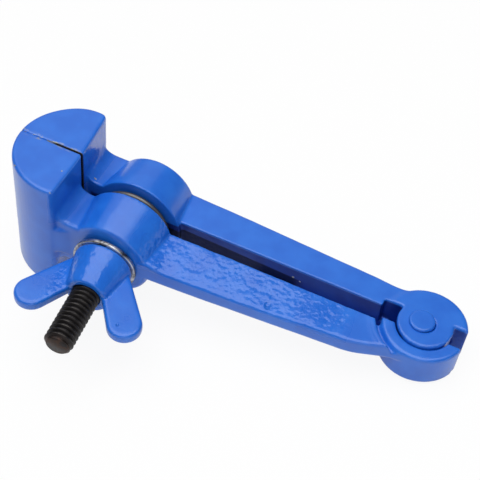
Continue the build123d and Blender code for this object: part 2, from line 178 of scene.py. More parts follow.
class Sock:
    """A shader value that takes part in Python arithmetic, adding Math nodes as it goes."""

    __abs__ = operator("ABSOLUTE")
    __add__ = __radd__ = operator("ADD")
    __sub__ = operator("SUBTRACT")
    __rsub__ = operator("SUBTRACT", swapped=True)
    __mul__ = operator("MULTIPLY")
    __truediv__ = operator("DIVIDE")
    __pow__ = operator("POWER")
    at_most = operator("MINIMUM")
    at_least = operator("MAXIMUM")

    def __init__(self, tree: "ShaderTree", out: bpy.types.NodeSocket) -> None:
        """Wrap an output socket of a tree."""
        self.tree = tree
        self.out = out

    def rise(self, low: float, high: float) -> "Sock":
        """Return a smooth step from 0 at low to 1 at high."""
        ranged = self.tree.node(
            "ShaderNodeMapRange",
            {"interpolation_type": "SMOOTHSTEP"},
            {"Value": self, "From Min": low, "From Max": high},
        )
        return Sock(self.tree, ranged.outputs["Result"])

    def within(self, band: Band) -> "Sock":
        """Return 1 inside a band and 0 outside, with smooth steps between."""
        return self.rise(*band[:2]) * (1 - self.rise(*band[2:]))


class Place(NamedTuple):
    """The three numbers of the point that is being shaded."""

    x: Sock
    y: Sock
    z: Sock


class ShaderTree:
    """A material under construction."""

    def __init__(self, name: str) -> None:
        """Start an empty node material of that name."""
        self.material = bpy.data.materials.new(name)
        self.material.use_nodes = True
        self.material.node_tree.nodes.clear()

    def node(
        self,
        kind: str,
        settings: dict[str, object] | None = None,
        inputs: dict[str | int, object] | None = None,
    ) -> bpy.types.Node:
        """Add a node.

        Args:
            kind: The node's type.
            settings: Its properties, set before its sockets.
            inputs: Values or links of its sockets, by name or number.

        Returns:
            The node.
        """
        made = self.material.node_tree.nodes.new(kind)
        for name, value in (settings or {}).items():
            setattr(made, name, value)
        for name, value in (inputs or {}).items():
            if isinstance(value, Sock):
                self.material.node_tree.links.new(value.out, made.inputs[name])
            else:
                made.inputs[name].default_value = value
        return made

    def math(self, operation: str, *values: "Sock | float") -> Sock:
        """Add a Math node and return its result."""
        made = self.node("ShaderNodeMath", {"operation": operation}, dict(enumerate(values)))
        return Sock(self, made.outputs[0])

    def mix(self, factor: Sock, low: "Sock | Colour", high: "Sock | Colour") -> Sock:
        """Return a colour between two colours."""
        made = self.node("ShaderNodeMix", {"data_type": "RGBA"}, {0: factor, 6: low, 7: high})
        return Sock(self, made.outputs[2])

    def place(self, placement: Placement) -> Sock:
        """Turn Object coordinates into a placement's millimetres.

        Args:
            placement: The frame that they are wanted in.

        Returns:
            The coordinates as one vector.
        """
        coordinates = self.node("ShaderNodeTexCoord")
        inverse = placement.from_row
        mapped = self.node(
            "ShaderNodeMapping",
            None,
            {
                "Vector": Sock(self, coordinates.outputs["Object"]),
                "Location": inverse.to_translation(),
                "Rotation": placement.turn.transposed().to_euler("XYZ"),
                "Scale": (1 / MM, 1 / MM, 1 / MM),
            },
        )
        return Sock(self, mapped.outputs["Vector"])

    def split(self, vector: Sock) -> Place:
        """Return the three numbers of a vector."""
        made = self.node("ShaderNodeSeparateXYZ", None, {"Vector": vector})
        return Place(*(Sock(self, out) for out in made.outputs))

    def stretch(self, vector: Sock, scale: Point) -> Sock:
        """Return a vector with each of its numbers scaled."""
        settings = {"operation": "MULTIPLY"}
        made = self.node("ShaderNodeVectorMath", settings, {0: vector, 1: scale})
        return Sock(self, made.outputs[0])

    def grain(self, vector: Sock, size: float, detail: float = 2.0, rough: float = 0.5) -> Sock:
        """Return cloudy noise from 0 to 1 whose lumps are about size across."""
        made = self.node(
            "ShaderNodeTexNoise",
            None,
            {"Vector": vector, "Scale": 1 / size, "Detail": detail, "Roughness": rough},
        )
        return Sock(self, made.outputs["Fac"])

    def teeth(self, along: Sock, up: Sock, pitch: float) -> Sock:
        """Add fine teeth that cross at right angles.

        Args:
            along: The distance along the toothed face.
            up: The distance up it.
            pitch: How far apart the cuts are.

        Returns:
            The height of the teeth, from 0 to 1.
        """
        diagonal, half = 0.707, pitch / 2
        one = self.math("PINGPONG", (along + up) * diagonal, half)
        two = self.math("PINGPONG", (along - up) * diagonal, half)
        return one.at_most(two) / half

    def cells(self, vector: Sock, size: float) -> Sock:
        """Return the distance to scattered points about size apart, as a share of size."""
        made = self.node("ShaderNodeTexVoronoi", None, {"Vector": vector, "Scale": 1 / size})
        return Sock(self, made.outputs["Distance"])

    def bump(self, height: Sock) -> Sock:
        """Return a normal for a height that is given in millimetres."""
        settings = {"Height": height, "Strength": 1.0, "Distance": MM}
        made = self.node("ShaderNodeBump", None, settings)
        return Sock(self, made.outputs["Normal"])

    def finish(self, **sockets: object) -> bpy.types.Material:
        """Close the tree with one surface shader and return its material.

        Args:
            sockets: Values or links of the shader's sockets, with _ for a space.

        Returns:
            The finished material.
        """
        inputs = {name.replace("_", " "): value for name, value in sockets.items()}
        shader = self.node("ShaderNodeBsdfPrincipled", None, inputs)
        out = self.node("ShaderNodeOutputMaterial")
        self.material.node_tree.links.new(shader.outputs["BSDF"], out.inputs["Surface"])
        return self.material


Map = Callable[[Place], Sock | None]


def linear(value: float) -> float:
    """Return one channel on the linear scale for one as a screen shows it."""
    share = value / SCREEN_WHITE
    return share / 12.92 if share <= 0.04045 else ((share + 0.055) / 1.055) ** 2.4


def shade(red: float, green: float, blue: float) -> Colour:
    """Return a linear colour for one that is written from 0 to 255 as a screen shows it."""
    return (linear(red), linear(green), linear(blue), 1.0)


@dataclass(frozen=True)
class Enamel:
    """Thick gloss blue paint, dipped over castings that were left as they came.

    Attributes:
        colour: The paint.
        deep: The paint where it has pooled.
        metal: What shows where it has chipped off.
        ground: The ground faces of the jaws, which bear no paint; their steel is made dark,
            partly as painted shade, so that the slit between the jaws shows dark.
        peel: Height of the fine ripple all over.
        lumps: Height of the casting's lumps where they are left rough.
        shaded_paint: Painted shade: the colour the paint is darkened to where light hardly
            reaches, in the gap between the arms, the knuckle and the ring's end.
        pitch: A painted shadow: the near black of the deepest shade, low in the gap between the
            arms.
        film: Weight of the clear film over even paint.
        matt: Roughness of the paint under it.
        film_loss: How much of the film is lost where the casting is rough.
        gloss: How much smoother the paint is there.
        chips: Small chips, in the tool's frame.
        dimples: Small dimples, in the same.
        has_jaw_face: Whether the piece has a ground face on the parting line.
        face_along: Where the ground face sets in.
        face_depth: Where it ends across the tool.
        front_along: Where its front end begins, whose rims are painted.
        front_rise: Where that paint sets in.
        tooth_pitch: How far apart its teeth are cut.
        tooth_height: How high they stand.
        seam_along: Where the worn edge of the split sets in.
        seam_depth: Where it ends across the tool.
        seam_rise: Where it sets in upwards.
    """

    colour: Colour = shade(34, 111, 215)
    deep: Colour = shade(28, 101, 206)
    metal: Colour = shade(164, 166, 158)
    # Ground steel of the jaw faces, darkened partly as painted shade for the slit between the
    # jaws.
    ground: Colour = shade(66, 65, 65)
    # Painted shade: the colour of the paint where light hardly reaches.
    shaded_paint: Colour = shade(12, 40, 124)
    # Painted shadow: the near black low in the gap between the arms.
    pitch: Colour = shade(16, 27, 66)
    peel: float = 0.008
    lumps: float = 0.16
    film: float = 0.22
    matt: float = 0.3
    film_loss: float = 0.2
    gloss: float = 0.16
    chips: tuple[Spot, ...] = ()
    dimples: tuple[Spot, ...] = ()
    has_jaw_face: bool = False
    face_along: Span = (96.0, 97.0)
    face_depth: Span = (0.24, 0.5)
    front_along: Span = (105.0, 107.0)
    front_rise: Span = (17.4, 18.2)
    tooth_pitch: float = 1.2
    tooth_height: float = 0.12
    seam_along: Span = (98.0, 101.0)
    seam_depth: Span = (0.3, 1.2)
    seam_rise: Span = (17.9, 18.8)

    def material(self, name: str, rough: Map, painted_shade: Map) -> bpy.types.Material:
        """Make the paint's material.

        Args:
            name: The material's name.
            rough: Takes a place in the tool's frame and returns how rough the casting is.
            painted_shade: Takes the same and returns how much painted shade darkens the paint
                there.

        Returns:
            The material.
        """
        tree = ShaderTree(name)
        place = tree.place(TOOL)
        at = tree.split(place)
        wave = tree.grain(place, 5.5, 2.0, 0.45)
        ripple = tree.grain(place, 1.5, 1.5, 0.4)
        speck = tree.grain(place, 0.45, 1.0)
        share = rough(at)
        height = (ripple - 0.5) * self.peel + (speck - 0.5) * (self.peel * 0.25)
        height = height + (wave - 0.5) * (self.peel * 4)
        wet = self.film
        matt = (wave - 0.5) * 0.08 + self.matt
        if share is not None:
            lump = tree.grain(place, 1.9, 2.5, 0.55) * 0.6 + tree.grain(place, 0.75, 1.5) * 0.4
            pit = tree.cells(place, 1.5)
            height = height + (lump - 0.5) * share * self.lumps
            height = height + pit.rise(0.1, 0.6) * share * (self.lumps * 0.35)
            wet = wet - share.at_most(1.0) * self.film_loss
            matt = matt - share.at_most(1.0) * self.gloss
        tint = tree.mix(wave.rise(0.3, 0.75), self.deep, self.colour)
        # Painted shade: where the mask says so, the paint is darkened, loses its clear film and
        # gets more ripple; at its darkest it turns into a near black painted shadow.
        shade_share = painted_shade(at)
        if shade_share is not None:
            darkening = shade_share * (0.85 + wave.rise(0.35, 0.65) * 0.15)
            tint = tree.mix(darkening, tint, self.shaded_paint)
            # thick: the darkest painted shade, where the paint becomes a painted shadow.
            thick = shade_share.rise(0.93, 1.0)
            tint = tree.mix(thick, tint, self.pitch)
            height = height + (ripple - 0.5) * shade_share * 0.1
            wet = (1 - shade_share) * wet
        chip = self.chipped(tree, place, at)
        colour = tree.mix(chip, tint, self.metal)
        height = height - chip * 0.03
        for spot in self.dimples:
            dent = self.reach(at, spot)
            height = height + dent.rise(0.3 * spot[3], spot[3]) * 0.25
        # How metallic the paint is: where it has chipped off and on the jaw faces, and also in
        # the painted shade, where a dark metallic base keeps reflections out so that it stays
        # dark.
        bare_and_shaded = chip * 0.6
        if shade_share is not None:
            bare_and_shaded = bare_and_shaded.at_least(shade_share * 0.6).at_least(thick * 0.96)
        if self.has_jaw_face:
            face = self.jaw_face(at)
            rows = tree.teeth(at.x, at.z, self.tooth_pitch)
            colour = tree.mix(face, colour, self.ground)
            height = height * (1 - face) + rows * face * self.tooth_height
            bare_and_shaded = bare_and_shaded.at_least(face * 0.9)
        return tree.finish(
            Base_Color=colour,
            Metallic=bare_and_shaded,
            Roughness=matt + bare_and_shaded * 0.2,
            Normal=tree.bump(height),
            Coat_Weight=(1 - bare_and_shaded).at_least(0.0) * wet,
            Coat_Roughness=0.14,
            Specular_IOR_Level=0.5,
        )

    def jaw_face(self, at: Place) -> Sock:
        """Return 1 on the ground face of the jaw and 0 elsewhere."""
        face = at.x.rise(*self.face_along) * (1 - abs(at.y).rise(*self.face_depth))
        return face * (1 - at.x.rise(*self.front_along) * abs(at.z).rise(*self.front_rise))

    @staticmethod
    def reach(at: Place, spot: Spot) -> Sock:
        """Return the distance to a spot, whose first three numbers are its place."""
        flat = (at.x - spot[0]) ** 2.0 + (at.y - spot[1]) ** 2.0
        return (flat + (at.z - spot[2]) ** 2.0) ** 0.5

    def chipped(self, tree: ShaderTree, place: Sock, at: Place) -> Sock:
        """Find where the paint has come off: in chips and along the split's upper edge.

        Args:
            tree: The material under construction.
            place: The place in the tool's frame, as a vector.
            at: The same as three numbers.

        Returns:
            1 where the metal shows through and 0 elsewhere.
        """
        streak = tree.grain(tree.stretch(place, (0.35, 1.0, 1.0)), 0.8, 2.5, 0.6)
        worn = (1 - abs(at.y).rise(*self.seam_depth)) * at.x.rise(*self.seam_along)
        worn = worn * at.z.rise(*self.seam_rise) * streak.rise(0.52, 0.62)
        for spot in self.chips:
            ragged = self.reach(at, spot) + (streak - 0.5) * (spot[3] * 2.4)
            worn = worn.at_least(1 - ragged.rise(spot[3] * 0.7, spot[3]))
        return worn


@dataclass(frozen=True)
class BlackOxide:
    """Blackened steel with a little oil on it.

    Attributes:
        colour: The black.
        rust: The brown that comes through at the tip.
        crest: The colour of rubbed crests.
        crest_radius: Where the crests begin, or 0 for a piece with no thread.
        tip: How far out the tip is, which is nowhere near a piece that has none.
        rust_depth: How far from the tip the rust reaches.
    """

    colour: Colour = shade(42, 40, 41)
    rust: Colour = shade(84, 58, 44)
    crest: Colour = shade(92, 88, 84)
    crest_radius: float = 0.0
    tip: float = 1000.0
    rust_depth: float = 1.6

    def material(self, name: str) -> bpy.types.Material:
        """Make the steel's material.

        Args:
            name: The material's name.

        Returns:
            The material.
        """
        tree = ShaderTree(name)
        place = tree.place(SCREW)
        x, y, z = tree.split(place)
        cloud = tree.grain(place, 1.6, 3.0, 0.6)
        speck = tree.grain(place, 0.25, 2.0)
        brown = z.rise(self.tip - self.rust_depth, self.tip) * cloud.rise(0.35, 0.65)
        colour = tree.mix(brown * 0.45, self.colour, self.rust)
        if self.crest_radius:
            radius = (x * x + y * y) ** 0.5
            rub = radius.rise(self.crest_radius - 0.08, self.crest_radius)
            colour = tree.mix(rub * cloud.rise(0.4, 0.7) * 0.7, colour, self.crest)
        height = (cloud - 0.5) * 0.02 + (speck - 0.5) * 0.012
        return tree.finish(
            Base_Color=colour,
            Metallic=0.75,
            Roughness=0.30 + cloud * 0.22,
            Normal=tree.bump(height),
            Specular_IOR_Level=0.5,
        )


@dataclass(frozen=True)
class BrightSteel:
    """Plain pressed steel, tumbled and faintly scratched.

    Attributes:
        colour: The clean steel.
        dull: The steel where oil and dust dull it.
    """

    colour: Colour = shade(196, 196, 198)
    dull: Colour = shade(78, 76, 74)

    def material(self, name: str) -> bpy.types.Material:
        """Make the steel's material.

        Args:
            name: The material's name.

        Returns:
            The material.
        """
        tree = ShaderTree(name)
        place = tree.place(SCREW)
        cloud = tree.grain(place, 2.4, 3.0, 0.6)
        scratch = tree.grain(tree.stretch(place, (0.3, 3.0, 3.0)), 0.5, 2.0)
        colour = tree.mix(cloud.rise(0.42, 0.7), self.colour, self.dull)
        return tree.finish(
            Base_Color=colour,
            Metallic=1.0,
            Roughness=0.24 + cloud * 0.2,
            Normal=tree.bump((scratch - 0.5) * 0.012 + (cloud - 0.5) * 0.02),
        )


def ramp(value: float, low: float, high: float) -> float:
    """Return a smooth step from 0 at low to 1 at high."""
    share = min(max((value - low) / (high - low), 0.0), 1.0)
    return share * share * (3 - 2 * share)


def within(value: float, band: Band) -> float:
    """Return 1 inside a band and 0 outside, with smooth steps between."""
    return ramp(value, *band[:2]) * (1 - ramp(value, *band[2:]))


def bare_object(name: str, data: bpy.types.ID) -> bpy.types.Object:
    """Link a new object at the origin.

    Args:
        name: Its name.
        data: Its mesh, lamp or camera.

    Returns:
        The object.
    """
    made = bpy.data.objects.new(name, data)
    bpy.context.scene.collection.objects.link(made)
    return made


def node_copy(node: str, placement: Placement) -> bmesh.types.BMesh:
    """Copy a CAD node's mesh and merge its doubled points.

    Args:
        node: The node's name.
        placement: The frame that the copy is wanted in.

    Returns:
        The copy.
    """
    made = bmesh.new()
    made.from_mesh(frame["nodes"][node].data)
    bmesh.ops.transform(made, matrix=placement.from_row, verts=made.verts)
    bmesh.ops.remove_doubles(made, verts=made.verts, dist=0.0005)
    return made


def remeshed(shape: bmesh.types.BMesh, voxel: float) -> bmesh.types.BMesh:
    """Remesh a shape evenly.

    Args:
        shape: The shape, which is freed.
        voxel: The size of the new faces.

    Returns:
        The new shape.
    """
    mesh = bpy.data.meshes.new("work")
    shape.to_mesh(mesh)
    shape.free()
    work = bare_object("work", mesh)
    modifier = work.modifiers.new("work", "REMESH")
    modifier.mode = "VOXEL"
    modifier.voxel_size = voxel
    seen = work.evaluated_get(bpy.context.evaluated_depsgraph_get())
    made = bmesh.new()
    made.from_mesh(seen.to_mesh())
    seen.to_mesh_clear()
    bpy.data.objects.remove(work)
    bpy.data.meshes.remove(mesh)
    return made


def soften(shape: bmesh.types.BMesh, verts: list[bmesh.types.BMVert], passes: int) -> None:
    """Smooth some of a shape's points.

    Args:
        shape: The shape.
        verts: The points.
        passes: How often.
    """
    for _ in range(passes):
        bmesh.ops.smooth_vert(
            shape, verts=verts, factor=0.5, use_axis_x=True, use_axis_y=True, use_axis_z=True
        )


def spin(shape: bmesh.types.BMesh, steps: int, is_closed: bool, rise: float = 0.0) -> None:
    """Turn a profile once round Z.

    Args:
        shape: The shape, which holds nothing but the profile.
        steps: How many steps the turn takes.
        is_closed: Whether its end is merged with its start.
        rise: How far each step climbs.
    """
    bmesh.ops.spin(
        shape,
        geom=shape.verts[:] + shape.edges[:],
        cent=(0, 0, 0),
        axis=(0, 0, 1),
        dvec=(0, 0, rise),
        angle=2 * math.pi,
        steps=steps,
        use_merge=is_closed,
        use_normal_flip=False,
        use_duplicate=False,
    )


def hand_over(
    shape: bmesh.types.BMesh, name: str, placement: Placement, sharp: float | None = None
) -> bpy.types.Object:
    """Turn a shape into a smooth-shaded object in the row frame.

    Args:
        shape: The shape, in a placement's millimetres, which is freed.
        name: The object's name.
        placement: The frame that the shape was made in.
        sharp: The angle in degrees past which an edge stays sharp, or None for none.

    Returns:
        The object, at the origin with its place in its mesh.
    """
    bmesh.ops.transform(shape, matrix=placement.to_row, verts=shape.verts)
    mesh = bpy.data.meshes.new(name)
    shape.to_mesh(mesh)
    shape.free()
    mesh.shade_smooth()
    if sharp is not None:
        mesh.set_sharp_from_angle(angle=math.radians(sharp))
    return bare_object(name, mesh)


def settle(
    piece: bpy.types.Object, body: Body, material: bpy.types.Material, node: str
) -> None:
    """Dress a piece, let it ride on its body and let it stand for its CAD node.

    Args:
        piece: The piece.
        body: The body that carries it.
        material: That material.
        node: The name of the CAD node.
    """
    piece.data.materials.clear()
    piece.data.materials.append(material)
    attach(piece, body.value)
    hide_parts(node)
    LOG.info("%s: %d faces on %s", piece.name, len(piece.data.polygons), body.value)


@dataclass
class Casting:
    """A casting: the CAD shape with cast edges, pulled a little out of true.

    Attributes:
        node: The CAD node that it stands for.
        body: The body that it rides on.
        placement: The frame that it is remeshed in.
        voxel: The size of its new faces.
        passes: How often its edges are softened.
        wave: Height of the slow wave that keeps flat faces from being perfect.
        slowness: How many waves there are to a millimetre.
        paint: Its paint.
    """

    node: str
    body: Body
    placement: Placement = TOOL
    voxel: float = 0.33
    passes: int = 2
    wave: float = 0.05
    slowness: float = 0.11
    paint: Enamel = Enamel()

    def build(self) -> bpy.types.Object:
        """Build the casting and return it."""
        shape = node_copy(self.node, self.placement)
        self.add_metal(shape)
        shape = remeshed(shape, self.voxel)
        self.round_off(shape)
        self.pull(shape)
        piece = hand_over(shape, f"{self.node}_casting", self.placement)
        material = self.paint.material(f"{self.node}_enamel", self.rough, self.painted_shade)
        settle(piece, self.body, material, self.node)
        return piece

    def add_metal(self, shape: bmesh.types.BMesh) -> None:
        """Add what the casting has beyond the CAD shape: nothing on a plain one."""

    def round_off(self, shape: bmesh.types.BMesh) -> None:
        """Soften the casting's edges."""
        soften(shape, shape.verts[:], self.passes)

    def pull(self, shape: bmesh.types.BMesh) -> None:
        """Move each point a little along its normal, as a sand mould does."""
        shape.normal_update()
        for vert in shape.verts:
            slow = noise.noise(vert.co * self.slowness) * self.wave
            vert.co += vert.normal * (slow + self.relief(vert.co))

    def relief(self, point: Vector) -> float:
        """Return how far the rough skin of the casting stands out at a point."""
        return 0.0

    def rough(self, at: Place) -> Sock | None:
        """Return how rough the skin is for the shader, or None where it is even."""
        return None

    def painted_shade(self, at: Place) -> Sock | None:
        """Return how much shade is painted into the paint, or None where there is none."""
        return None


@dataclass
class WingNut(Casting):
    """The wing nut, whose hub is a little lumpy where the paint has run.

    Attributes:
        middle: Where the hub's middle is along the tool.
        hub: How far from it the hub passes into the wings.
    """

    middle: float = 83.0
    hub: Span = (6.5, 9.0)

    def rough(self, at: Place) -> Sock:
        """Return how far the paint's runs show: on the hub more than on the wings."""
        across = ((at.x - self.middle) ** 2.0 + at.z * at.z) ** 0.5
        return 1.1 - across.rise(*self.hub)


@dataclass
class JawCasting(Casting):
    """One jaw with its arm: its split faces stay sharp and its neck flows into the head.

    Attributes:
        side: 1 for the near jaw and -1 for the far one.
        split_depth: How near to the parting line the sharp edges are.
        head_start: Where the head begins.
        crisp: Where the knuckle's crisp edges end and where the head's begin.
        closing_along: Where the split's front end closes under the paint.
        closing: How far it closes.
        paint_depth: How far the paint stands out of the split elsewhere.
        closing_depth: Where that ends across the tool.
        neck_low: Lowest corner of the box in which the neck is blended.
        neck_high: Highest corner of that box.
        neck_passes: How often the neck is softened.
        back_along: Where the head's back lies.
        back_rise: Where it is rough as cast, above and below the neck.
        back_rough: How rough it is there.
    """

    side: int = 1
    split_depth: float = 1.1
    head_start: float = 97.0
    crisp: Span = (15.5, 95.5)
    closing_along: Span = (106.5, 109.5)
    closing: float = 0.13
    paint_depth: float = 0.02
    closing_depth: Span = (0.2, 1.2)
    neck_low: Point = (90.5, 11.0, -9.5)
    neck_high: Point = (99.6, 18.0, 9.0)
    neck_passes: int = 5
    back_along: Band = (94.7, 95.5, 98.5, 99.3)
    back_rise: Band = (6.5, 7.5, 18.2, 19.2)
    back_rough: float = 0.6

    def round_off(self, shape: bmesh.types.BMesh) -> None:
        """Soften all edges, the split least and the neck most."""
        split = [v for v in shape.verts if self.on_split(v.co)]
        rest = [v for v in shape.verts if not self.on_split(v.co)]
        soften(shape, split, 1)
        knuckle, head = self.crisp
        crisp = [v for v in rest if not knuckle < v.co.x < head]
        plain = [v for v in rest if knuckle < v.co.x < head]
        soften(shape, plain, self.passes)
        soften(shape, crisp, 1)
        soften(shape, [v for v in rest if self.on_neck(v.co)], self.neck_passes)

    def on_split(self, point: Vector) -> bool:
        """Tell whether a point is near the split of the head."""
        return abs(point.y) < self.split_depth and point.x > self.head_start

    def rough(self, at: Place) -> Sock:
        """Return how rough the skin is: on the head's back above and below the neck."""
        back = at.x.within(self.back_along) * abs(at.z).within(self.back_rise)
        return back * self.back_rough

    def on_neck(self, point: Vector) -> bool:
        """Tell whether a point is where the neck's outer face meets the head."""
        low, high = self.neck_low, self.neck_high
        return (
            low[0] < point.x < high[0]
            and low[1] < point.y * self.side < high[1]
            and low[2] < point.z < high[2]
        )

    def pull(self, shape: bmesh.types.BMesh) -> None:
        """Close the split's front end under the paint, then pull the skin about."""
        super().pull(shape)
        for vert in shape.verts:
            close = self.closing * ramp(vert.co.x, *self.closing_along)
            near = 1.0 - ramp(abs(vert.co.y), *self.closing_depth)
            vert.co.y -= self.side * (close + self.paint_depth) * near


@dataclass
class NearJaw(JawCasting):
    """The near jaw, whose arm has a rough top that falls away outwards.

    The arm's foot slopes up to the knuckle, and a valley runs round the knuckle in it.

    Attributes:
        fall: How far the arm's top falls for each millimetre outwards.
        fall_edge: How far from the parting line it starts to.
        fall_along: Where it does.
        fall_rise: Where it sets in upwards.
        foot: Lowest and highest height of the foot's slope.
        foot_reach: Where the slope lies.
        foot_skin: How far under the slope a point begins to follow it.
        valley: Depth of the valley under the foot's low end.
        valley_reach: Where it lies.
        bank: Height of its outer bank.
        bank_reach: Where that rises.
        corner: Radius of the head's corner at the split.
        corner_gap: How far the split is open there.
        corner_rise: Where the rounding sets in, above and below the neck.
        rough_along: Where the arm's top is rough.
        rough_depth: Where that sets in across the tool.
        rough_rise: Where it sets in upwards.
    """

    fall: float = 0.115
    fall_edge: float = 1.9
    fall_along: Band = (12.0, 46.0, 66.0, 71.5)
    fall_rise: Span = (-1.0, 4.0)
    foot: Span = (2.8, 4.3)
    foot_reach: Span = (12.0, 14.2)
    foot_skin: Span = (-1.6, -0.3)
    valley: float = 0.7
    valley_reach: Band = (11.1, 11.6, 13.6, 15.5)
    bank: float = 1.65
    bank_reach: Span = (12.2, 13.0)
    corner: float = 1.3
    corner_gap: float = 0.15
    corner_rise: Span = (5.0, 8.0)
    rough_along: Band = (15.0, 21.0, 72.0, 78.0)
    rough_depth: Span = (0.5, 3.0)
    rough_rise: Span = (2.0, 3.4)
    back_rough: float = 0.25

    def relief(self, point: Vector) -> float:
        """Return how far the arm's lumpy top stands out at a point."""
        share = ramp(point.z, *self.rough_rise) * ramp(point.y, *self.rough_depth)
        share *= within(point.x, self.rough_along)
        if share <= 0.0:
            return 0.0
        slow = noise.noise(point * 0.21 + Vector((7, 3, 1)))
        quick = noise.noise(point * 0.75)
        pits = min(0.0, noise.noise(point * 0.6 + Vector((2, 9, 4))) + 0.15)
        return share * (slow * 0.14 + quick * 0.05 + pits * 0.22)

    def pull(self, shape: bmesh.types.BMesh) -> None:
        """Shape the head's corner and the arm's top, then pull the skin about."""
        self.round_corner(shape)
        for vert in shape.verts:
            self.tilt(vert)
            self.sink(vert)
        super().pull(shape)

    def tilt(self, vert: bmesh.types.BMVert) -> None:
        """Lower a point of the arm's top, the further out the more."""
        share = within(vert.co.x, self.fall_along) * ramp(vert.co.z, *self.fall_rise)
        vert.co.z -= self.fall * max(0.0, vert.co.y - self.fall_edge) * share

    def sink(self, vert: bmesh.types.BMVert) -> None:
        """Move a point of the foot's slope onto the valley."""
        if vert.co.x <= 0.0 or vert.co.z <= 1.0:
            return
        reach = math.hypot(vert.co.x, vert.co.y + PIVOT_OFFSET)
        low, high = self.foot
        start, end = self.foot_reach
        slope = low + (high - low) * min(max((reach - start) / (end - start), 0.0), 1.0)
        wanted = low - self.valley + (self.bank + self.valley) * ramp(reach, *self.bank_reach)
        share = ramp(vert.co.z - slope, *self.foot_skin) * within(reach, self.valley_reach)
        vert.co.z += (wanted - slope) * share

    def round_corner(self, shape: bmesh.types.BMesh) -> None:
        """Round the head's corner between its back and the split, clear of the neck."""
        back = min(vert.co.x for vert in shape.verts if vert.co.z > 15.0)
        middle = Vector((back + self.corner, self.corner_gap + self.corner))
        for vert in shape.verts:
            off = vert.co.xy - middle
            past = off.length - self.corner
            if off.x < 0.0 and off.y < 0.0 and past > 0.0:
                vert.co.xy -= off.normalized() * past * ramp(abs(vert.co.z), *self.corner_rise)

    def rough(self, at: Place) -> Sock:
        """Return how rough the skin is: also on the arm's top."""
        top = at.z.rise(*self.rough_rise) * at.y.rise(*self.rough_depth)
        top = top * at.x.within(self.rough_along)
        return top.at_least(super().rough(at))


@dataclass
class FarJaw(JawCasting):
    """The far jaw, whose head leans back and whose arm has a deep root at the knuckle.

    Attributes:
        lean: How far the head's back leans for each millimetre from the split.
        lean_along: Where it does.
        root_size: Length, width and depth of the metal under the arm's root.
        root_place: The middle of that metal.
        shade_rise: Where the painted shade ends upwards.
        gap_along: Where the gap between the arms lies.
        gap_depth: Where its wall is.
        notch_reach: Where the knuckle's notch lies.
        notch_along: Where it sets in.
        notch_depth: Where it sets in across the tool.
        end_along: Where the ring's end lies.
        end_depth: Where it sets in across the tool.
        deep_shadow_along: Where the painted shadow, the darkest painted shade, sets in.
        deep_shadow_rise: Where it ends upwards, at the pivot.
        deep_shadow_slope: How fast that rises along the tool.
    """

    side: int = -1
    lean: float = 0.095
    lean_along: Band = (92.0, 97.0, 99.0, 113.0)
    root_size: Point = (5.0, 6.6, 2.9)
    root_place: Point = (11.9, -6.7, -4.75)
    shade_rise: Span = (3.0, 3.7)
    gap_along: Band = (13.0, 14.0, 96.0, 97.0)
    gap_depth: Span = (-4.5, -3.9)
    notch_reach: Band = (6.9, 7.1, 14.5, 14.7)
    notch_along: Span = (3.5, 4.5)
    notch_depth: Span = (-8.5, -7.5)
    end_along: Span = (-7.2, -6.8)
    end_depth: Span = (-5.9, -5.5)
    deep_shadow_along: Span = (30.0, 38.0)
    deep_shadow_rise: Span = (-1.7, -0.7)
    deep_shadow_slope: float = 0.04

    def add_metal(self, shape: bmesh.types.BMesh) -> None:
        """Add the metal under the arm's root."""
        place = Matrix.Translation(self.root_place) @ Matrix.Diagonal(self.root_size).to_4x4()
        bmesh.ops.create_cube(shape, size=1.0, matrix=place)

    def painted_shade(self, at: Place) -> Sock:
        """Find where shade is painted: in the gap between the arms, in the knuckle and on the
        ring's end.

        Args:
            at: The place in the tool's frame.

        Returns:
            1 in the painted shadow low in the gap, 0.9 in the rest of the painted shade and 0
            elsewhere.
        """
        x, y, z = at
        gap = y.rise(*self.gap_depth) * x.within(self.gap_along)
        reach = (x * x + (y + PIVOT_OFFSET) ** 2.0) ** 0.5
        notch = reach.within(self.notch_reach) * x.rise(*self.notch_along)
        notch = notch * y.rise(*self.notch_depth)
        end = y.rise(*self.end_depth) * (1 - x.rise(*self.end_along)) * 0.9
        # thick: where the painted shade turns into a painted shadow, low in the gap.
        thick = 1 - (z - x * self.deep_shadow_slope).rise(*self.deep_shadow_rise)
        thick = thick * x.rise(*self.deep_shadow_along)
        low = 1 - z.rise(*self.shade_rise)
        return low * gap.at_least(notch).at_least(end) * (thick * 0.1 + 0.9)

    def pull(self, shape: bmesh.types.BMesh) -> None:
        """Lean the head's back forward at its outer side, then pull the skin about."""
        for vert in shape.verts:
            share = within(vert.co.x, self.lean_along)
            vert.co.x += self.lean * max(0.0, -vert.co.y) * share
        super().pull(shape)


